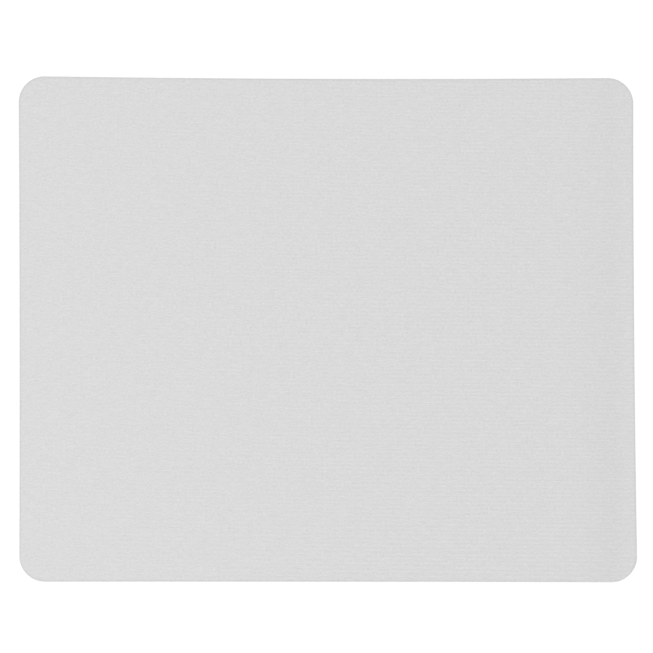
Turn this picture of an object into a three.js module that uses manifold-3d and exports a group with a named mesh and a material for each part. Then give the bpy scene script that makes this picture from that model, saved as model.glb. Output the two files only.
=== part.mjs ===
// A plain cloth-faced mouse pad: a sheet of foamed rubber, an adhesive film and a face cloth, bonded together
// and cut out in one stroke of a die. Millimetres, +Z up. The origin is under the middle of the pad, on the
// desk. +X runs along the front edge to the right, and +Y runs from the front edge to the back one.

import * as THREE from 'three';
import { mergeVertices } from 'three/addons/utils/BufferGeometryUtils.js';
import Module from 'manifold-3d';

const wasm = await Module();
wasm.setup();

// The box that the cut outline fills
const padLength = 220;
const padWidth = 180;
const cornerRadius = 9.1;

// Foam gives under the die and springs back, so the cut isn't quite square: how far each corner ends up
// inside the box, and how far each side is drawn in at its middle
const cornerPullIn = {
  frontLeft: { x: 0.2, y: 0.2 },
  frontRight: { x: 0, y: 0 },
  backRight: { x: 1.35, y: 0.6 },
  backLeft: { x: 0, y: 0 },
};
const sideDrawIn = { front: 0.1, right: 0.35, back: 0.6, left: 0.2 };

// The layers, from the desk up
const baseThickness = 2.5;
const filmThickness = 0.1;
const clothThickness = 0.4;

// The cut edge: the foam wall is hollow at mid height, the film shrinks back, and the die rolls the cloth
// over, through at most this share of its thickness
const wallHollow = 0.2;
const filmSetBack = 0.1;
const clothEdgeRadius = 0.25;
const mostRoll = 0.9;

// The fluted underside: grooves moulded along the length, with flat lands between them that rest on the desk
const groovePitch = 2;
const grooveMouth = 0.9;
const grooveFloor = 0.5;
const grooveDepth = 0.35;
const plainMargin = 2.5;
const cutterOverrun = 5;

// How finely curves are drawn
const cornerSteps = 14;
const sideSteps = 10;
const wallSteps = 6;
const edgeSteps = 4;

const clothMaterial = new THREE.MeshStandardMaterial({ color: 0xdadada, roughness: 0.92, metalness: 0 });
const filmMaterial = new THREE.MeshStandardMaterial({ color: 0xd9d5ca, roughness: 0.45, metalness: 0 });
const rubberMaterial = new THREE.MeshStandardMaterial({ color: 0x1e1e20, roughness: 0.85, metalness: 0 });

// The cut outline, counter-clockwise from the front left corner, as points with the way out of the pad at
// each of them
function cutOutline() {
  const halfLength = padLength / 2;
  const halfWidth = padWidth / 2;
  const quarterTurn = Math.PI / 2;
  // Each corner, with the draw-in of the side that follows it
  const corners = [
    { outX: -1, outY: -1, pullIn: cornerPullIn.frontLeft, drawIn: sideDrawIn.front },
    { outX: 1, outY: -1, pullIn: cornerPullIn.frontRight, drawIn: sideDrawIn.right },
    { outX: 1, outY: 1, pullIn: cornerPullIn.backRight, drawIn: sideDrawIn.back },
    { outX: -1, outY: 1, pullIn: cornerPullIn.backLeft, drawIn: sideDrawIn.left },
  ];
  const arcs = corners.map(({ outX, outY, pullIn }, i) => {
    const centreX = outX * (halfLength - pullIn.x - cornerRadius);
    const centreY = outY * (halfWidth - pullIn.y - cornerRadius);
    const start = Math.PI + i * quarterTurn;
    return new THREE.EllipseCurve(centreX, centreY, cornerRadius, cornerRadius, start, start + quarterTurn);
  });
  const points = arcs.flatMap((arc, i) => {
    const from = arc.getPoint(1);
    const to = arcs[(i + 1) % arcs.length].getPoint(0);
    const along = to.clone().sub(from).normalize();
    const inward = new THREE.Vector2(-along.y, along.x);
    // A parabola passes half way between its chord and its control point
    const control = from.clone().lerp(to, 0.5).addScaledVector(inward, 2 * corners[i].drawIn);
    const side = new THREE.QuadraticBezierCurve(from, control, to);
    return [...arc.getPoints(cornerSteps).slice(0, -1), ...side.getPoints(sideSteps).slice(0, -1)];
  });
  return points.map((point, i) => {
    const before = points[(i + points.length - 1) % points.length];
    const after = points[(i + 1) % points.length];
    const along = after.clone().sub(before).normalize();
    return { point, out: new THREE.Vector2(along.y, -along.x) };
  });
}

const outline = cutOutline();

// A closed layer: the outline at each step of an edge profile, from the bottom face up to the top face. A
// step says how far inside the outline the edge lies there, and at what height.
function cutLayer(edgeProfile) {
  const rings = edgeProfile.map(({ inset }) =>
    outline.map(({ point, out }) => point.clone().addScaledVector(out, -inset)));
  const count = outline.length;
  const positions = rings.flatMap((ring, level) => ring.flatMap(({ x, y }) => [x, y, edgeProfile[level].z]));
  const topLevel = rings.length - 1;
  const triangles = [];
  for (let level = 0; level < topLevel; level += 1) {
    for (let i = 0; i < count; i += 1) {
      const next = (i + 1) % count;
      const low = level * count;
      const high = low + count;
      triangles.push(low + i, low + next, high + next, low + i, high + next, high + i);
    }
  }
  for (const [a, b, c] of THREE.ShapeUtils.triangulateShape(rings[0], [])) triangles.push(a, c, b);
  for (const face of THREE.ShapeUtils.triangulateShape(rings[topLevel], [])) {
    triangles.push(...face.map((corner) => topLevel * count + corner));
  }
  const geometry = new THREE.BufferGeometry();
  geometry.setAttribute('position', new THREE.Float32BufferAttribute(positions, 3));
  geometry.setIndex(triangles);
  return geometry;
}

function toSolid(geometry) {
  const bare = geometry.clone();
  bare.deleteAttribute('normal');
  bare.deleteAttribute('uv');
  const merged = mergeVertices(bare);
  return new wasm.Manifold(new wasm.Mesh({
    numProp: 3,
    vertProperties: new Float32Array(merged.attributes.position.array),
    triVerts: new Uint32Array(merged.index.array),
  }));
}

function toGeometry(solid) {
  const { vertProperties, triVerts } = solid.getMesh();
  const geometry = new THREE.BufferGeometry();
  geometry.setAttribute('position', new THREE.BufferAttribute(vertProperties, 3));
  geometry.setIndex(new THREE.BufferAttribute(triVerts, 1));
  return geometry;
}

// One straight groove's cutter at a place across the pad, running out past both ends
function grooveCutter(y) {
  const section = new THREE.Shape([
    new THREE.Vector2(-grooveMouth / 2, -cutterOverrun),
    new THREE.Vector2(grooveMouth / 2, -cutterOverrun),
    new THREE.Vector2(grooveMouth / 2, 0),
    new THREE.Vector2(grooveFloor / 2, grooveDepth),
    new THREE.Vector2(-grooveFloor / 2, grooveDepth),
    new THREE.Vector2(-grooveMouth / 2, 0),
  ]);
  const length = padLength + 2 * cutterOverrun;
  const geometry = new THREE.ExtrudeGeometry(section, { depth: length, bevelEnabled: false });
  // The section is drawn across and up the pad, and its depth runs along it
  geometry.applyMatrix4(new THREE.Matrix4().makeBasis(
    new THREE.Vector3(0, 1, 0),
    new THREE.Vector3(0, 0, 1),
    new THREE.Vector3(1, 0, 0),
  ));
  return geometry.translate(-length / 2, y, 0);
}

function rubberBase() {
  const wall = Array.from({ length: wallSteps + 1 }, (_, step) => {
    const share = step / wallSteps;
    return { inset: 4 * wallHollow * share * (1 - share), z: share * baseThickness };
  });
  let solid = toSolid(cutLayer(wall));
  // An even count, so that a land runs along the middle of the pad
  const groovesEachSide = Math.floor((padWidth / 2 - plainMargin - grooveMouth / 2) / groovePitch + 0.5);
  for (let i = 0; i < groovesEachSide; i += 1) {
    const y = (i + 0.5) * groovePitch;
    solid = solid.subtract(toSolid(grooveCutter(y))).subtract(toSolid(grooveCutter(-y)));
  }
  return new THREE.Mesh(toGeometry(solid), rubberMaterial);
}

function bondFilm() {
  const bottom = baseThickness;
  const edge = [
    { inset: filmSetBack, z: bottom },
    { inset: filmSetBack, z: bottom + filmThickness },
  ];
  return new THREE.Mesh(cutLayer(edge), filmMaterial);
}

function faceCloth() {
  const bottom = baseThickness + filmThickness;
  const rollRadius = Math.min(clothEdgeRadius, mostRoll * clothThickness);
  const rollCentre = bottom + clothThickness - rollRadius;
  const roll = Array.from({ length: edgeSteps + 1 }, (_, step) => {
    const turn = (step / edgeSteps) * Math.PI / 2;
    return { inset: rollRadius * (1 - Math.cos(turn)), z: rollCentre + rollRadius * Math.sin(turn) };
  });
  return new THREE.Mesh(cutLayer([{ inset: 0, z: bottom }, ...roll]), clothMaterial);
}

const mousePad = new THREE.Group();
const layers = { rubber_base: rubberBase(), bond_film: bondFilm(), face_cloth: faceCloth() };
for (const [name, layer] of Object.entries(layers)) {
  layer.name = name;
  mousePad.add(layer);
}

export default mousePad;
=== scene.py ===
"""A plain cloth-faced mouse pad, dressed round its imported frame. The pieces are drawn in millimetres and
turned to metres as they become meshes. +X runs along the front edge, +Y to the back edge and +Z up."""

import math

import bmesh
import bpy
import numpy as np
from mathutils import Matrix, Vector, kdtree, noise
from mathutils.geometry import delaunay_2d_cdt


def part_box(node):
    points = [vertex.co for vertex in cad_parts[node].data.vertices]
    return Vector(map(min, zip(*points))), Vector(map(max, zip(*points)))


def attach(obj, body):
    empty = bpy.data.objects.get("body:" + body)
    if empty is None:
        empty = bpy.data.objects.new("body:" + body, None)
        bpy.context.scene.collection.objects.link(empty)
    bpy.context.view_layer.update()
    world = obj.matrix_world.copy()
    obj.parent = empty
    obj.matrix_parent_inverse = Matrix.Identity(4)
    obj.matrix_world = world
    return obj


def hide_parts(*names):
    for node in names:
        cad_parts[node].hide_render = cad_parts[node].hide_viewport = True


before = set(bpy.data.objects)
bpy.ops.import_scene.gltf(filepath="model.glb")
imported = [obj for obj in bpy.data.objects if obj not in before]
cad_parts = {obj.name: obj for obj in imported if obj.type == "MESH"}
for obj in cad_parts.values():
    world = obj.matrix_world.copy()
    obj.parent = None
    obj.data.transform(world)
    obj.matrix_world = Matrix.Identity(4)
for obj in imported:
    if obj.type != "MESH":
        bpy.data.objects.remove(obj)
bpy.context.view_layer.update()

MM = 0.001

# The photograph: its size, and the pad's place and scale in it. Whole numbers are the middles of pixels.
FRAME_PIXELS = 653
PIXELS_PER_MM = 2.811
PAD_CENTRE_PIXEL = (327.42, 328.83)

# The camera: its lens and sensor, and the nearest that it sees, in metres
LENS_MM = 100
SENSOR_MM = 36
NEAREST_SEEN = 0.01

# How close points are, in millimetres, when they are one point of a mesh, one point of a filled face, or
# at one level, how finely the outline is read, and how far an edge turns when it is crisp
SAME_POINT = 0.0001
SAME_IN_FILL = 0.00001
SAME_LEVEL = 0.001
OUTLINE_DECIMALS = 4
CRISP_TURN = math.radians(60)

# How far apart the cut outline's points are, where distances are measured from it and on each piece
FINE_SPACING = 0.25
CLOTH_SPACING = 0.8
FILM_SPACING = 0.5
BASE_SPACING = 0.2

# Each pattern of noise is read at a level of its own, so that no two are alike
SWELL_LEVEL = 3.0
WANDER_LEVEL = 7.0
WAVER_LEVEL = 11.0

# The knit: rows of stitches along the pad, a little out of line with its edges. The rows wander by this
# much, over this length along them and this width across them.
ROW_PITCH = 0.4701
STITCH_LENGTH = 0.374
ROW_TILT = math.radians(0.254)
FURROW_DEPTH = 0.03
ROW_WANDER = 0.1
WANDER_LENGTH = 20.0
WANDER_WIDTH = 1.1

# How far the cloth was drawn out of true as it was laid. Its rows lie too far back by the spread at the
# front and back edges, too far forward by the bow at the left and right, and either way by the twist at
# the corners.
ROW_SPREAD = 0.85
ROW_BOW = 0.11
ROW_TWIST = 0.166

# The points that draw the rows: lines of them to a row, their step along it in the middle and near its
# ends, how long those ends are and how far they are from the middle part, and how far past the pad the
# lines start
LINES_TO_A_ROW = 3
GRID_STEP = 4.5
END_STEP = 0.9
END_LENGTH = 14
END_GAP = 4
GRID_OVERHANG = 3

# The cloth's edge, pressed down by the die: how deep, over what width, how round and in how many steps
PRESS_DEPTH = 0.06
PRESS_WIDTH = 0.5
CLOTH_ROLL = 0.2
ROLL_STEPS = 4

# How far in from the edge the furrows start and are full, and the rings of points that lead there
FURROWS_START = 0.3
FURROWS_FULL = 1.3
SHOULDER_INSETS = (0.4, 0.6, 0.8, 1.05)

# Painted shade along the cut edge: how strong it is at the edge, from 0 for none to 1 for the most, over
# what width, and the power that it falls off by
EDGE_SHADE = 0.72
EDGE_SHADE_WIDTH = 0.6
EDGE_SHADE_POWER = 3

# A strip of painted shade near the right edge: its distance from that edge, how far it fades towards
# that edge and away from it, and how strong it is at the front and at the back
SHADE_STRIP_INSET = 9.0
SHADE_STRIP_OUTER = 4.2
SHADE_STRIP_INNER = 8.8
SHADE_STRIP_FRONT = 0.24
SHADE_STRIP_BACK = 0.11

# The fluted underside: its grooves, their lips, the points down a flank, the faces along a flute, and
# how far beyond the last groove the plain outline takes over
GROOVE_PITCH = 2.0
GROOVE_MOUTH = 0.9
GROOVE_FLOOR = 0.5
GROOVE_DEPTH = 0.35
GROOVES_EACH_SIDE = 44
LIP_WIDTH = 0.07
FLANK_POINTS = 5
FLUTE_FACES = 13
MARGIN_CLEAR = 0.1

# The cut wall of the sponge: the rings of points up it, its hollow at mid height, the tears of its
# cells, the share of its height at the foot and at the top that they fade out over, and the power that
# the flutes fall off by up the wall
WALL_RINGS = 14
WALL_HOLLOW = 0.2
TEAR_SIZE = 0.7
TEAR_DEPTH = 0.08
TEAR_OCTAVES = 2
TEAR_FADE = 0.15
FLUTE_POWER = 4

# The film's edge: how far it lies inside the cut, how much it wavers and over what length
FILM_SET_BACK = 0.1
FILM_WAVER = 0.04
WAVER_LENGTH = 2.5

# The sponge is a little thicker or thinner from place to place, but not at its edge. The layers' hidden
# faces follow it by this step.
UNEVENNESS = 0.1
UNEVEN_LENGTH = 40.0
UNEVEN_INSET = 15.0
LAYER_STEP = UNEVEN_LENGTH / 8

# The flat maps that textures are baked through, in millimetres: the room round each map, how much wider
# than they are the folded-out edges are drawn, and how far a hidden face is squashed
MAP_NAME = "OFBake"
MAP_GAP = 1.0
CLOTH_EDGE_STRETCH = 3.0
FILM_EDGE_STRETCH = 15.0
WALL_STRETCH = 2.0
HIDDEN_SQUASH = 0.03

# The knit's shading: how far a stitch's leg leans along its row, in stitches over a row's width, how
# much the yarn's shade and the fluff count in its tone, and the tones that give pale yarn, and grey yarn
# with the painted shade of furrows and gaps
STITCH_SLANT = 1.1
YARN_TONE = 0.5
FLUFF_TONE = 1.1
PALE_TONE = 0.115
GREY_TONE = 1.615

# The depth of the relief in millimetres, and how much the fluff counts in it
KNIT_RELIEF = 0.06
FLUFF_RELIEF = 0.5

# How far along its row a yarn keeps one shade, how far apart in the noise two rows are read, and the
# length and width of the tufts of fluff
YARN_LENGTH = 3.0
ROWS_APART = 7.31
TUFT_LENGTH = 0.9
TUFT_WIDTH = 0.5

# How strongly the furrows shade, in relief and in painted shade, at the left edge and towards the right,
# at its front and at its back. They are strongest from this far right of its middle.
FURROW_SHADE_LEFT = 0.9
FURROW_SHADE_FRONT = 4.4
FURROW_SHADE_BACK = 2.7
FURROWS_STRONGEST_FROM = 42.0

# How far the painted shade, at its strongest, mixes the cloth's colour towards dark grey
SHADE_MIX = 0.14

# The torn cells of the cut sponge, large and small: the radius of their mouths as a share of their size,
# and how far inside and outside that radius a mouth's rim starts and ends
CELL_SIZE = 0.32
SMALL_CELL_SIZE = CELL_SIZE / 2.4
LEAST_MOUTH = 0.05
WIDEST_MOUTH = 0.5
RIM_START = -0.12
RIM_END = 0.04

# The grain between the cells: its size, how much it counts in the relief, and the relief's depth
CUT_GRAIN = 0.12
CUT_GRAIN_RELIEF = 0.3
CUT_RELIEF = 0.08

# The moulded skin: the size and depth of its grain, how rough that leaves it, the size of the clouds of
# bloom, and the noise where they start and where they are full
MOULD_GRAIN = 0.25
MOULD_RELIEF = 0.04
LEAST_ROUGH = 0.5
MOST_ROUGH = 0.8
BLOOM_SIZE = 18
BLOOM_START = 0.35
BLOOM_FULL = 0.7

# How long the film's uneven patches are
SQUEEZE_LENGTH = 3

# Colours, as sRGB hex
PALE_YARN = "#e6e6e6"
# Grey yarn, which also gives the painted shade in the knit's furrows and gaps
GREY_YARN_AND_SHADE = "#c4c4c4"
# The dark grey that painted shade mixes into the cloth
SHADE_GREY = "#3a3a3a"
# The painted shade in the cut sponge's open cells
CELL_PIT_SHADE = "#0f0f10"
CUT_RUBBER = "#3a3a3c"
MOULDED_SKIN = "#1e1e20"
GREY_BLOOM = "#343437"
DULL_FILM = "#b9b4a8"
MILKY_FILM = "#d9d5ca"
SHADED_PAPER = "#404040"
WHITE = "#ffffff"

# A colour mix node's sockets by number: its share, its two colours and its result
MIX_SHARE = 0
MIX_FIRST = 6
MIX_SECOND = 7
MIX_RESULT = 2

# The backdrop, in metres: how far out its floor is flat, the radius that it sweeps up by, and its
# height. Its own glow gives it most of its white.
FLOOR_REACH = 5.0
SWEEP_RADIUS = 1.0
BACKDROP_HEIGHT = 1.2
SWEEP_POINTS = 9
BACKDROP_SIDES = 64
PAPER_GLOW = 0.97

# The light: strengths in Blender's units, and places and sizes in metres
ROOM_STRENGTH = 0.4
KEY_STRENGTH = 1.7295
KEY_SPREAD = math.radians(50)
KEY_PLACE = (0, 0, 2)
KEY_WAY = (-0.05, 0.05, -1)
SOFTBOX_STRENGTH = 1.7
SOFTBOX_SIZE = 0.8
SOFTBOX_PLACE = (-0.8, -0.3, 0.7)


# The frame and the cut edge

def box_mm(node):
    """A node's lowest and highest corners in millimetres."""
    low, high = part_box(node)
    return np.array(low) / MM, np.array(high) / MM


base_high = box_mm("rubber_base")[1]
film_low, film_high = box_mm("bond_film")
cloth_low, cloth_high = box_mm("face_cloth")


def smooth_step(low, high, value):
    """From 0 at low to 1 at high, with a soft start and a soft end."""
    share = np.clip((value - low) / (high - low), 0, 1)
    return share * share * (3 - 2 * share)


def noise_at(points, level):
    """Soft noise from about -1 to 1 over flat points, with features of about unit length."""
    return np.array([noise.noise(Vector((x, y, level))) for x, y in points])


def cut_outline(spacing):
    """The frame's cut outline, counter-clockwise, as points this far apart."""
    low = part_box("face_cloth")[0].z
    ring = {(round(v.co.x / MM, OUTLINE_DECIMALS), round(v.co.y / MM, OUTLINE_DECIMALS))
            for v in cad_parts["face_cloth"].data.vertices if abs(v.co.z - low) < SAME_LEVEL * MM}
    ring = np.array(sorted(ring, key=lambda p: math.atan2(p[1], p[0])))
    closed = np.concatenate([ring, ring[:1]])
    along = np.concatenate([[0], np.cumsum(np.linalg.norm(np.diff(closed, axis=0), axis=1))])
    steps = np.linspace(0, along[-1], round(along[-1] / spacing), endpoint=False)
    return np.column_stack([np.interp(steps, along, closed[:, i]) for i in (0, 1)])


def way_out(ring):
    """The direction out of a counter-clockwise ring at each point, square to the line from the second point
    before it to the second after it."""
    tangent = np.roll(ring, -2, axis=0) - np.roll(ring, 2, axis=0)
    tangent /= np.linalg.norm(tangent, axis=1)[:, None]
    return np.column_stack([tangent[:, 1], -tangent[:, 0]])


fine_edge = cut_outline(FINE_SPACING)
edge_tree = kdtree.KDTree(len(fine_edge))
for place, point in enumerate(fine_edge):
    edge_tree.insert((*point, 0), place)
edge_tree.balance()


def edge_distance(points):
    """How far each flat point lies from the cut edge."""
    return np.array([edge_tree.find((x, y, 0))[2] for x, y in points])


def inside_edge(points, clear):
    """The points inside the cut edge by at least this much. The whole outline is in sight of its middle."""
    edge_turn = np.arctan2(fine_edge[:, 1], fine_edge[:, 0])
    order = np.argsort(edge_turn)
    reach = np.linalg.norm(fine_edge, axis=1)
    turn = np.arctan2(points[:, 1], points[:, 0])
    limit = np.interp(turn, edge_turn[order], reach[order], period=2 * math.pi)
    points = points[np.linalg.norm(points, axis=1) < limit]
    return points[edge_distance(points) > clear]


def swell(points):
    """How much thicker than the frame the sponge is at each flat point."""
    thicker = UNEVENNESS * noise_at(points / UNEVEN_LENGTH, SWELL_LEVEL)
    return thicker * smooth_step(0, UNEVEN_INSET, edge_distance(points))


def painted_shade_at(points):
    """The painted shade at each flat point of the cloth, along its cut edge and near its right edge."""
    edge_shade = EDGE_SHADE * np.exp(-(edge_distance(points) / EDGE_SHADE_WIDTH) ** EDGE_SHADE_POWER)
    # The strip of painted shade near the right edge
    inward = cloth_high[0] - SHADE_STRIP_INSET - points[:, 0]
    fade = np.where(inward > 0, SHADE_STRIP_INNER, SHADE_STRIP_OUTER)
    to_front = (cloth_high[1] - points[:, 1]) / (cloth_high[1] - cloth_low[1])
    strip_shade = SHADE_STRIP_BACK + (SHADE_STRIP_FRONT - SHADE_STRIP_BACK) * to_front
    return np.maximum(edge_shade, strip_shade * np.exp(-(inward / fade) ** 2))


# Meshes and their maps

def fill(ring, inner, height):
    """Triangles over the inside of a ring through the inner points, each at its own height."""
    flat = [Vector(p) for p in np.concatenate([ring, inner])]
    rim = [(i, (i + 1) % len(ring)) for i in range(len(ring))]
    points, _, faces, *_ = delaunay_2d_cdt(flat, rim, [], 1, SAME_IN_FILL)
    points = np.array(points)
    return np.column_stack([points, height(points)]), faces


def layer_face(ring, height):
    """A face inside a ring at a height, which follows the sponge's swell."""
    steps = np.arange(-cloth_high[0], cloth_high[0], LAYER_STEP)
    grid = np.column_stack([g.ravel() for g in np.meshgrid(steps, steps)])
    return fill(ring, inside_edge(grid, LAYER_STEP / 2), lambda flat: height + swell(flat))


def turned_over(part):
    """A part with its faces the other way round."""
    points, faces = part
    return points, [tuple(reversed(face)) for face in faces]


def bands(rings):
    """Four-sided faces between rings of points, each ring above the last."""
    count = len(rings[0])
    faces = []
    for level in range(len(rings) - 1):
        low, high = level * count, (level + 1) * count
        for i in range(count):
            after = (i + 1) % count
            faces.append((low + i, low + after, high + after, high + i))
    return np.concatenate(rings), faces


def on_ring(points, out, inset, height, share=1):
    """A ring moved inwards by inset, at a height, raised by this share of the sponge's swell there."""
    moved = points - out * np.broadcast_to(inset, len(points))[:, None]
    return np.column_stack([moved, height + share * swell(moved)])


def folded_out(rings, out, stretch):
    """Where the rings of an edge lie when it is folded out flat round the first of them, drawn wider by
    stretch."""
    steps = [np.linalg.norm(after - before, axis=1) for before, after in zip(rings, rings[1:])]
    reach = np.cumsum([np.zeros(len(out)), *steps], axis=0) * stretch
    return [rings[0][:, :2] + out * far[:, None] for far in reach]


def tucked_away(points, others):
    """A map for a face that nothing shows: squashed to a strip just past the front of the other maps."""
    front = min(other[:, 1].min() for other in others) - MAP_GAP
    return np.column_stack([points[:, 0], front + HIDDEN_SQUASH * (points[:, 1] - cloth_high[1])])


def lay_map(mesh, flat):
    """Gives a mesh its texture map, from each point's place on it in millimetres."""
    low = flat.min(axis=0) - MAP_GAP
    high = flat.max(axis=0) + MAP_GAP
    corners = np.empty(len(mesh.loops), np.int32)
    mesh.loops.foreach_get("vertex_index", corners)
    layer = mesh.uv_layers.new(name=MAP_NAME)
    layer.uv.foreach_set("vector", ((flat - low) / (high - low))[corners].ravel())


def weld(mesh):
    """Joins the rims of a mesh's parts, and leaves a crisp edge wherever the surface turns sharply."""
    work = bmesh.new()
    work.from_mesh(mesh)
    bmesh.ops.remove_doubles(work, verts=work.verts, dist=SAME_POINT * MM)
    bmesh.ops.recalc_face_normals(work, faces=work.faces)
    for edge in work.edges:
        edge.smooth = edge.calc_face_angle(0) < CRISP_TURN
    work.to_mesh(mesh)
    work.free()


def make_piece(name, node, parts, materials):
    """One closed mesh in a node's place, from parts of (points, faces, material, map) that are joined where
    their rims meet."""
    points, maps, faces, slots = [], [], [], []
    for part_points, part_faces, slot, part_map in parts:
        start = sum(len(p) for p in points)
        points.append(part_points)
        maps.append(part_map)
        faces += [[start + i for i in face] for face in part_faces]
        slots += [slot] * len(part_faces)
    mesh = bpy.data.meshes.new(name)
    mesh.from_pydata((np.concatenate(points) * MM).tolist(), [], faces)
    mesh.polygons.foreach_set("material_index", slots)
    mesh.polygons.foreach_set("use_smooth", [True] * len(faces))
    for material in materials:
        mesh.materials.append(material)
    lay_map(mesh, np.concatenate(maps))
    weld(mesh)
    piece = bpy.data.objects.new(name, mesh)
    bpy.context.scene.collection.objects.link(piece)
    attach(piece, "root")
    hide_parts(node)
    return piece


# Materials

def linear(hex_colour):
    """A colour written as sRGB hex, in linear light."""
    parts = [int(hex_colour[i:i + 2], 16) / 255 for i in (1, 3, 5)]
    return (*[c / 12.92 if c <= 0.04045 else ((c + 0.055) / 1.055) ** 2.4 for c in parts], 1)


def new_material(name):
    """A material with only its shader and output, as (material, node tree, shader)."""
    material = bpy.data.materials.new(name)
    material.use_nodes = True
    tree = material.node_tree
    return material, tree, tree.nodes["Principled BSDF"]


def feed(tree, socket, value):
    """Sets a socket to a value, or links it to another socket, or to a node's first output."""
    if isinstance(value, bpy.types.Node):
        value = value.outputs[0]
    if isinstance(value, bpy.types.NodeSocket):
        tree.links.new(value, socket)
    else:
        socket.default_value = value


def add(tree, kind, inputs, **settings):
    """A node with its settings, and its inputs fed."""
    node = tree.nodes.new(kind)
    for name, value in settings.items():
        setattr(node, name, value)
    for name, value in inputs.items():
        feed(tree, node.inputs[name], value)
    return node


def knitted_polyester():
    """Heat-set polyester jersey: dull, pale grey, with fine rows of slanted stitches that shade each other
    in relief and in painted shade, which also darkens it along its cut edge and near its right edge."""
    material, tree, shader = new_material("knitted_polyester")
    knit = add(tree, "ShaderNodeAttribute", {}, attribute_name="knit").outputs["Vector"]
    place = add(tree, "ShaderNodeSeparateXYZ", {0: knit})
    along = place.outputs["X"]
    across = place.outputs["Y"]
    row = add(tree, "ShaderNodeMath", {0: across, 1: ROW_PITCH}, operation="DIVIDE")
    stitch = add(tree, "ShaderNodeMath", {0: along, 1: STITCH_LENGTH}, operation="DIVIDE")
    # From 0 along the middle of a row to 0.5 in the furrow beside it
    beside = add(tree, "ShaderNodeMath", {0: row, 1: 0.5}, operation="PINGPONG")
    # Every other row is half a stitch further on
    number = add(tree, "ShaderNodeMath", {0: row}, operation="ROUND")
    shifted = add(tree, "ShaderNodeMath", {0: number, 1: 0.5, 2: stitch}, operation="MULTIPLY_ADD")
    slanted = add(tree, "ShaderNodeMath", {0: beside, 1: STITCH_SLANT, 2: shifted}, operation="MULTIPLY_ADD")
    # From 0 along the middle of a stitch's leg to 0.5 in the gap to the next
    between = add(tree, "ShaderNodeMath", {0: slanted, 1: 0.5}, operation="PINGPONG")
    gap = add(tree, "ShaderNodeMath", {0: between, 1: between}, operation="MULTIPLY")
    # Less the mean of the square, so that stronger furrows leave the cloth no darker
    furrow = add(tree, "ShaderNodeMath", {0: beside, 1: beside, 2: -1 / 12}, operation="MULTIPLY_ADD")
    right_furrow_strength = add(tree, "ShaderNodeMapRange",
                {"Value": across, "From Min": cloth_low[1], "From Max": cloth_high[1],
                 "To Min": FURROW_SHADE_FRONT, "To Max": FURROW_SHADE_BACK})
    drawn = add(tree, "ShaderNodeMapRange",
                {"Value": along, "From Min": cloth_low[0], "From Max": FURROWS_STRONGEST_FROM,
                 "To Min": FURROW_SHADE_LEFT, "To Max": right_furrow_strength})
    # The furrows and the gaps between stitches: their depth in the relief, and their painted shade in the
    # colour
    depth = add(tree, "ShaderNodeMath", {0: furrow, 1: drawn, 2: gap}, operation="MULTIPLY_ADD")
    # The yarn of a row is paler or greyer for a few millimetres at a time, and fluffy
    yarn_place = add(tree, "ShaderNodeCombineXYZ", {0: along, 1: number})
    yarn_scale = add(tree, "ShaderNodeVectorMath", {0: yarn_place, 1: (1 / YARN_LENGTH, ROWS_APART, 1)},
                     operation="MULTIPLY")
    yarn = add(tree, "ShaderNodeTexNoise", {"Vector": yarn_scale, "Scale": 1.0, "Detail": 1.0})
    tuft = add(tree, "ShaderNodeVectorMath", {0: knit, 1: (1 / TUFT_LENGTH, 1 / TUFT_WIDTH, 1)},
               operation="MULTIPLY")
    fluff = add(tree, "ShaderNodeTexNoise", {"Vector": tuft, "Scale": 1.0, "Detail": 2.0})
    tone = add(tree, "ShaderNodeMath", {0: yarn, 1: YARN_TONE, 2: depth}, operation="MULTIPLY_ADD")
    tone = add(tree, "ShaderNodeMath", {0: fluff, 1: FLUFF_TONE, 2: tone}, operation="MULTIPLY_ADD")
    grey = add(tree, "ShaderNodeMapRange", {"Value": tone, "From Min": PALE_TONE, "From Max": GREY_TONE})
    cloth_colour = add(tree, "ShaderNodeMix",
                       {MIX_SHARE: grey, MIX_FIRST: linear(PALE_YARN), MIX_SECOND: linear(GREY_YARN_AND_SHADE)},
                       data_type="RGBA").outputs[MIX_RESULT]
    # Painted shade along the cut edge and near the right edge, mixed into the cloth's colour as dark grey
    painted_shade = add(tree, "ShaderNodeAttribute", {}, attribute_name="painted_shade").outputs["Fac"]
    shade_share = add(tree, "ShaderNodeMath", {0: painted_shade, 1: SHADE_MIX}, operation="MULTIPLY")
    colour = add(tree, "ShaderNodeMix",
                 {MIX_SHARE: shade_share, MIX_FIRST: cloth_colour, MIX_SECOND: linear(SHADE_GREY)},
                 data_type="RGBA").outputs[MIX_RESULT]
    feed(tree, shader.inputs["Base Color"], colour)
    relief = add(tree, "ShaderNodeMath", {0: fluff, 1: FLUFF_RELIEF, 2: depth}, operation="MULTIPLY_ADD")
    bump = add(tree, "ShaderNodeBump", {"Height": relief, "Distance": KNIT_RELIEF * MM, "Strength": 0.5},
               invert=True)
    feed(tree, shader.inputs["Normal"], bump)
    shader.inputs["Roughness"].default_value = 0.9
    shader.inputs["IOR"].default_value = 1.57
    shader.inputs["Sheen Weight"].default_value = 0.1
    shader.inputs["Sheen Roughness"].default_value = 0.5
    return material


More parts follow.
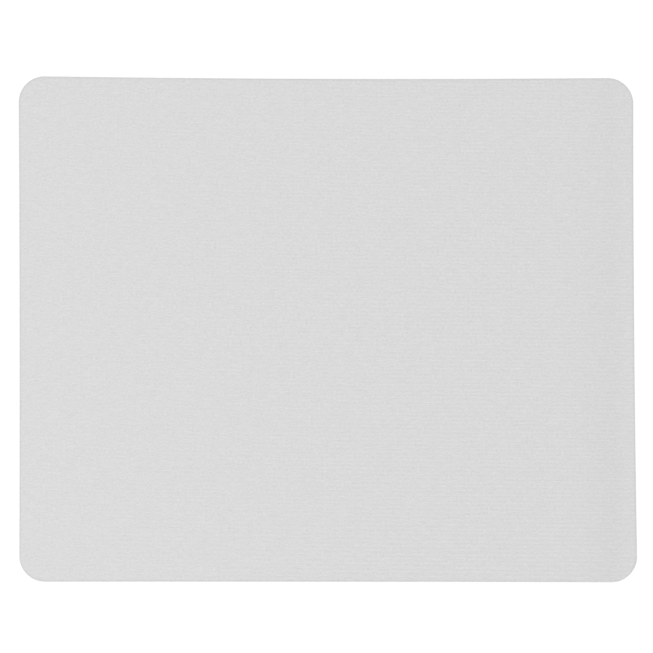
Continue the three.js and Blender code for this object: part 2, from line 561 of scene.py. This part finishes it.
def cut_sponge_rubber():
    """Foamed rubber sliced by a die: black and dull, with the open mouths of cells of mixed sizes,
    darkened with painted shade.
    """
    material, tree, shader = new_material("cut_sponge_rubber")
    place = add(tree, "ShaderNodeTexCoord", {}).outputs["Object"]
    walls = []
    for size in (CELL_SIZE, SMALL_CELL_SIZE):
        cells = add(tree, "ShaderNodeTexVoronoi", {"Vector": place, "Scale": 1 / (size * MM)})
        chance = add(tree, "ShaderNodeSeparateColor", {0: cells.outputs["Color"]})
        mouth = add(tree, "ShaderNodeMapRange",
                    {"Value": chance, "To Min": LEAST_MOUTH, "To Max": WIDEST_MOUTH})
        outside = add(tree, "ShaderNodeMath", {0: cells.outputs["Distance"], 1: mouth}, operation="SUBTRACT")
        walls.append(add(tree, "ShaderNodeMapRange",
                         {"Value": outside, "From Min": RIM_START, "From Max": RIM_END}))
    solid = add(tree, "ShaderNodeMath", {0: walls[0], 1: walls[1]}, operation="MULTIPLY")
    grain = add(tree, "ShaderNodeTexNoise", {"Vector": place, "Scale": 1 / (CUT_GRAIN * MM), "Detail": 3.0})
    pit_shade_and_grain = add(tree, "ShaderNodeMath", {0: solid, 1: grain}, operation="MULTIPLY")
    # Painted shade in the cells' mouths, and the grain's own darker and lighter tone
    colour = add(tree, "ShaderNodeMix",
                 {MIX_SHARE: pit_shade_and_grain, MIX_FIRST: linear(CELL_PIT_SHADE), MIX_SECOND: linear(CUT_RUBBER)},
                 data_type="RGBA").outputs[MIX_RESULT]
    feed(tree, shader.inputs["Base Color"], colour)
    relief = add(tree, "ShaderNodeMath", {0: grain, 1: CUT_GRAIN_RELIEF, 2: solid}, operation="MULTIPLY_ADD")
    bump = add(tree, "ShaderNodeBump", {"Height": relief, "Distance": CUT_RELIEF * MM, "Strength": 0.8})
    feed(tree, shader.inputs["Normal"], bump)
    shader.inputs["Roughness"].default_value = 0.88
    shader.inputs["IOR"].default_value = 1.52
    return material


def moulded_rubber():
    """The sponge's moulded skin: black, smoother than the cut, with a fine grain from the mould and a faint
    grey bloom."""
    material, tree, shader = new_material("moulded_rubber_skin")
    place = add(tree, "ShaderNodeTexCoord", {}).outputs["Object"]
    grain = add(tree, "ShaderNodeTexNoise",
                {"Vector": place, "Scale": 1 / (MOULD_GRAIN * MM), "Detail": 4.0})
    bloom = add(tree, "ShaderNodeTexNoise",
                {"Vector": place, "Scale": 1 / (BLOOM_SIZE * MM), "Detail": 4.0})
    cloudy = add(tree, "ShaderNodeMapRange",
                 {"Value": bloom, "From Min": BLOOM_START, "From Max": BLOOM_FULL})
    colour = add(tree, "ShaderNodeMix",
                 {MIX_SHARE: cloudy, MIX_FIRST: linear(MOULDED_SKIN), MIX_SECOND: linear(GREY_BLOOM)},
                 data_type="RGBA").outputs[MIX_RESULT]
    feed(tree, shader.inputs["Base Color"], colour)
    rough = add(tree, "ShaderNodeMapRange", {"Value": grain, "To Min": LEAST_ROUGH, "To Max": MOST_ROUGH})
    feed(tree, shader.inputs["Roughness"], rough)
    bump = add(tree, "ShaderNodeBump", {"Height": grain, "Distance": MOULD_RELIEF * MM, "Strength": 0.6})
    feed(tree, shader.inputs["Normal"], bump)
    shader.inputs["IOR"].default_value = 1.52
    return material


def hot_melt_film():
    """Milky hot-melt adhesive: a thin satin line, uneven where it was squeezed."""
    material, tree, shader = new_material("hot_melt_film")
    place = add(tree, "ShaderNodeTexCoord", {}).outputs["Object"]
    squeeze = add(tree, "ShaderNodeTexNoise",
                  {"Vector": place, "Scale": 1 / (SQUEEZE_LENGTH * MM), "Detail": 2.0})
    colour = add(tree, "ShaderNodeMix",
                 {MIX_SHARE: squeeze, MIX_FIRST: linear(DULL_FILM), MIX_SECOND: linear(MILKY_FILM)},
                 data_type="RGBA").outputs[MIX_RESULT]
    feed(tree, shader.inputs["Base Color"], colour)
    shader.inputs["Roughness"].default_value = 0.45
    shader.inputs["IOR"].default_value = 1.49
    return material


# The cloth

def row_stray(along, across):
    """How far the rows of the knit stray to the back at places along and across them."""
    places = np.column_stack([along / WANDER_LENGTH, across / WANDER_WIDTH])
    wander = ROW_WANDER * noise_at(places, WANDER_LEVEL)
    right = along / cloth_high[0]
    back = across / cloth_high[1]
    return wander + ROW_SPREAD * back ** 2 - ROW_BOW * right ** 2 + ROW_TWIST * right * back


def turned(points, angle):
    """Flat points turned about the origin."""
    cos, sin = math.cos(angle), math.sin(angle)
    x, y = points[:, 0], points[:, 1]
    return np.column_stack([x * cos - y * sin, x * sin + y * cos])


def knit_place(points):
    """Where flat points lie in the knit: along its rows, and across them with their straying taken out."""
    along, across = turned(points, -ROW_TILT).T
    return np.column_stack([along, across - row_stray(along, across)])


def knit_grid():
    """Points on the cloth's face that follow the rows: one line in each furrow and two on each crest."""
    half_length = cloth_high[0] + GRID_OVERHANG
    half_rows = round((cloth_high[1] + GRID_OVERHANG) / ROW_PITCH)
    near_end = np.arange(half_length - END_LENGTH, half_length, END_STEP)
    half_middle = half_length - END_LENGTH - END_GAP
    columns = np.concatenate([-near_end, np.arange(-half_middle, half_middle, GRID_STEP), near_end])
    rows = np.arange(-half_rows, half_rows, 1 / LINES_TO_A_ROW) + 0.5
    along, across = (g.ravel() for g in np.meshgrid(columns, rows * ROW_PITCH))
    across = across + row_stray(along, across)
    return inside_edge(turned(np.column_stack([along, across]), ROW_TILT), FURROWS_FULL)


def cloth_top(points):
    """The height of the cloth's face at flat points: pressed at its edge, with a furrow beside each row."""
    away = edge_distance(points)
    unpressed = PRESS_DEPTH * (1 - np.exp(-(np.maximum(away - CLOTH_ROLL, 0) / PRESS_WIDTH) ** 2))
    row = knit_place(points)[:, 1] / ROW_PITCH
    furrow = FURROW_DEPTH * (0.5 - 0.5 * np.cos(2 * math.pi * row))
    edge_top = cloth_high[2] - PRESS_DEPTH
    return edge_top + unpressed - furrow * smooth_step(FURROWS_START, FURROWS_FULL, away) + swell(points)


def mark_knit(mesh):
    """Gives the material each point's place in the knit, and the painted shade there."""
    flat = np.array([v.co.xy for v in mesh.vertices]) / MM
    along, across = knit_place(flat).T
    knit = mesh.attributes.new("knit", "FLOAT_VECTOR", "POINT")
    knit.data.foreach_set("vector", np.column_stack([along, across, np.zeros(len(flat))]).ravel())
    painted_shade = mesh.attributes.new("painted_shade", "FLOAT", "POINT")
    painted_shade.data.foreach_set("value", painted_shade_at(flat))


def face_cloth():
    """The knit, closed all round: a rolled, pressed edge, and rows of stitches across the face."""
    edge = cut_outline(CLOTH_SPACING)
    out = way_out(edge)
    edge_top = cloth_high[2] - PRESS_DEPTH
    rings = [on_ring(edge, out, 0, cloth_low[2])]
    for turn in np.linspace(0, math.pi / 2, ROLL_STEPS, endpoint=False):
        inset = CLOTH_ROLL * (1 - math.cos(turn))
        rings.append(on_ring(edge, out, inset, edge_top - CLOTH_ROLL * (1 - math.sin(turn))))
    rim = edge - out * CLOTH_ROLL
    rings.append(np.column_stack([rim, cloth_top(rim)]))
    shoulder = np.concatenate([edge - out * inset for inset in SHOULDER_INSETS])
    face = fill(rim, np.concatenate([shoulder, knit_grid()]), cloth_top)
    under = turned_over(layer_face(edge, cloth_low[2]))
    edge_map = np.concatenate(folded_out(rings[::-1], out, CLOTH_EDGE_STRETCH)[::-1])
    parts = [(*bands(rings), 0, edge_map), (*face, 0, face[0][:, :2]),
             (*under, 0, tucked_away(under[0], [edge_map]))]
    piece = make_piece("knit_face", "face_cloth", parts, [knitted_polyester()])
    mark_knit(piece.data)
    return piece


# The film

def bond_film():
    """The adhesive, squeezed out unevenly between the cloth and the sponge."""
    edge = cut_outline(FILM_SPACING)
    out = way_out(edge)
    waver = FILM_SET_BACK + FILM_WAVER * noise_at(edge / WAVER_LENGTH, WAVER_LEVEL)
    rings = [on_ring(edge, out, FILM_SET_BACK, film_low[2]),
             on_ring(edge, out, waver, (film_low[2] + film_high[2]) / 2),
             on_ring(edge, out, FILM_SET_BACK, film_high[2])]
    rim = edge - out * FILM_SET_BACK
    under = turned_over(layer_face(rim, film_low[2]))
    upper = layer_face(rim, film_high[2])
    edge_map = np.concatenate(folded_out(rings[::-1], out, FILM_EDGE_STRETCH)[::-1])
    parts = [(*bands(rings), 0, edge_map), (*upper, 0, upper[0][:, :2]),
             (*under, 0, tucked_away(under[0], [edge_map]))]
    return make_piece("adhesive_film", "bond_film", parts, [hot_melt_film()])


# The sponge

def groove_height(y):
    """How far the fluted underside stands off the desk at a place across the pad."""
    place = np.abs(y)
    beside = np.abs(np.mod(place, GROOVE_PITCH) - GROOVE_PITCH / 2)
    depth = GROOVE_DEPTH * (1 - smooth_step(GROOVE_FLOOR / 2, GROOVE_MOUTH / 2, beside))
    return np.where(place < GROOVES_EACH_SIDE * GROOVE_PITCH, depth, 0)


def flute_lines():
    """The lines along the flutes that draw their section: floor, flanks, lips and the land between them, and
    where each line leaves the pad at the left and at the right."""
    flank = np.linspace(GROOVE_FLOOR / 2, GROOVE_MOUTH / 2, FLANK_POINTS)
    half = np.concatenate([flank, [GROOVE_MOUTH / 2 + LIP_WIDTH, GROOVE_PITCH / 2]])
    section = np.concatenate([-half[:-1], [0], half])
    middles = (np.arange(-GROOVES_EACH_SIDE, GROOVES_EACH_SIDE) + 0.5) * GROOVE_PITCH
    lines = np.sort((middles[:, None] + section).ravel())
    ends = []
    for side in (-1, 1):
        edge = fine_edge[fine_edge[:, 0] * side > 0]
        upward = edge[np.argsort(edge[:, 1])]
        ends.append(np.interp(lines, upward[:, 1], upward[:, 0]))
    return lines, *ends


def flute_ring(lines, left, right):
    """The cut outline with a point at each end of each line of the flutes, counter-clockwise."""
    edge = cut_outline(BASE_SPACING)
    beyond = edge[np.abs(edge[:, 1]) > np.abs(lines).max() + MARGIN_CLEAR]
    ring = np.concatenate([beyond, np.column_stack([left, lines]), np.column_stack([right, lines])])
    return ring[np.argsort(np.arctan2(ring[:, 1], ring[:, 0]))]


def on_desk(points):
    """The height of the plain margins, which lie on the desk."""
    return np.zeros(len(points))


def flute_skin(lines, left, right, ring):
    """The underside in three parts: strips between the lines of the flutes, and a plain margin at the front
    and at the back that reaches out to the ring."""
    shares = np.linspace(0, 1, FLUTE_FACES + 1)
    x = left[:, None] + (right - left)[:, None] * shares
    flat = np.column_stack([x.ravel(), np.repeat(lines, len(shares))])
    strips = np.column_stack([flat, groove_height(flat[:, 1])])
    faces = []
    for start in range(0, len(flat) - len(shares), len(shares)):
        for i in range(start, start + FLUTE_FACES):
            faces.append((i, i + 1, i + len(shares) + 1, i + len(shares)))
    front = np.concatenate([ring[ring[:, 1] <= lines[0]], flat[FLUTE_FACES - 1:0:-1]])
    back = np.concatenate([ring[ring[:, 1] >= lines[-1]], flat[-FLUTE_FACES:-1]])
    no_points = flat[:0]
    return [(strips, faces), fill(front, no_points, on_desk), fill(back, no_points, on_desk)]


def rubber_base():
    """The sponge: its fluted skin underneath, and a cut wall that is hollow and torn."""
    flutes = flute_lines()
    edge = flute_ring(*flutes)
    out = way_out(edge)
    rings = []
    for share in np.linspace(0, 1, WALL_RINGS):
        z = share * base_high[2]
        hollow = 4 * WALL_HOLLOW * share * (1 - share)
        torn = smooth_step(0, TEAR_FADE, share) * (1 - smooth_step(1 - TEAR_FADE, 1, share))
        tears = np.array([noise.turbulence(Vector((x, y, z)) / TEAR_SIZE, TEAR_OCTAVES, False)
                          for x, y in edge])
        flute = groove_height(edge[:, 1]) * (1 - share) ** FLUTE_POWER
        rings.append(on_ring(edge, out, hollow + TEAR_DEPTH * tears * torn, z + flute, share))
    upper = layer_face(edge, base_high[2])
    # The underside's map is drawn as it is seen, from below
    from_below = np.array([-1, 1])
    wall_map = np.concatenate(folded_out(rings, out, WALL_STRETCH)) * from_below
    skin = [(*turned_over(part), 1, part[0][:, :2] * from_below) for part in flute_skin(*flutes, edge)]
    parts = [(*bands(rings), 0, wall_map), (*upper, 0, tucked_away(upper[0], [wall_map])), *skin]
    return make_piece("sponge_base", "rubber_base", parts, [cut_sponge_rubber(), moulded_rubber()])


# The backdrop, the light and the camera

def backdrop():
    """A white floor that sweeps up all round, so bright that the pad leaves no shadow on it."""
    profile = [(FLOOR_REACH + SWEEP_RADIUS * math.sin(bend), SWEEP_RADIUS * (1 - math.cos(bend)))
               for bend in np.linspace(0, math.pi / 2, SWEEP_POINTS)]
    profile.append((FLOOR_REACH + SWEEP_RADIUS, BACKDROP_HEIGHT))
    turns = np.linspace(0, 2 * math.pi, BACKDROP_SIDES, endpoint=False)
    rings = [np.array([(r * math.cos(t), r * math.sin(t), z) for t in turns]) for r, z in profile]
    points, faces = bands(rings)
    mesh = bpy.data.meshes.new("backdrop")
    mesh.from_pydata(points.tolist(), [], faces + [tuple(range(len(turns)))])
    material, _, shader = new_material("white_paper")
    shader.inputs["Base Color"].default_value = linear(SHADED_PAPER)
    shader.inputs["Roughness"].default_value = 1
    shader.inputs["Specular IOR Level"].default_value = 0
    shader.inputs["Emission Color"].default_value = linear(WHITE)
    shader.inputs["Emission Strength"].default_value = PAPER_GLOW
    mesh.materials.append(material)
    sweep = bpy.data.objects.new("backdrop", mesh)
    bpy.context.scene.collection.objects.link(sweep)


def aim(name, data, location, direction):
    """An object for a light, at a place and facing a direction."""
    lamp = bpy.data.objects.new(name, data)
    lamp.location = location
    lamp.rotation_euler = Vector(direction).to_track_quat("-Z", "Y").to_euler()
    bpy.context.scene.collection.objects.link(lamp)


def lights():
    """Soft light from nearly overhead, and a softbox at the left that fades across the pad."""
    world = bpy.data.worlds.new("studio")
    bpy.context.scene.world = world
    world.use_nodes = True
    room = world.node_tree.nodes["Background"]
    room.inputs["Color"].default_value = linear(WHITE)
    room.inputs["Strength"].default_value = ROOM_STRENGTH
    key = bpy.data.lights.new("soft_key", "SUN")
    key.energy = KEY_STRENGTH
    key.angle = KEY_SPREAD
    aim("soft_key", key, KEY_PLACE, KEY_WAY)
    softbox = bpy.data.lights.new("left_softbox", "AREA")
    softbox.shape = "SQUARE"
    softbox.size = SOFTBOX_SIZE
    softbox.energy = SOFTBOX_STRENGTH
    aim("left_softbox", softbox, SOFTBOX_PLACE, -Vector(SOFTBOX_PLACE))


def camera():
    """Straight above the pad, at the photograph's scale and place."""
    lens = bpy.data.cameras.new("camera")
    lens.lens = LENS_MM
    lens.sensor_width = SENSOR_MM
    lens.clip_start = NEAREST_SEEN
    view = bpy.data.objects.new("camera", lens)
    middle = (FRAME_PIXELS - 1) / 2
    distance = FRAME_PIXELS / PIXELS_PER_MM * LENS_MM / SENSOR_MM
    right = (middle - PAD_CENTRE_PIXEL[0]) / PIXELS_PER_MM
    back = (PAD_CENTRE_PIXEL[1] - middle) / PIXELS_PER_MM
    view.location = Vector((right, back, cloth_high[2] + distance)) * MM
    bpy.context.scene.collection.objects.link(view)
    bpy.context.scene.camera = view
    bpy.context.scene.view_settings.view_transform = "Standard"


camera()
lights()
backdrop()
cloth = face_cloth()
bond_film()
base = rubber_base()
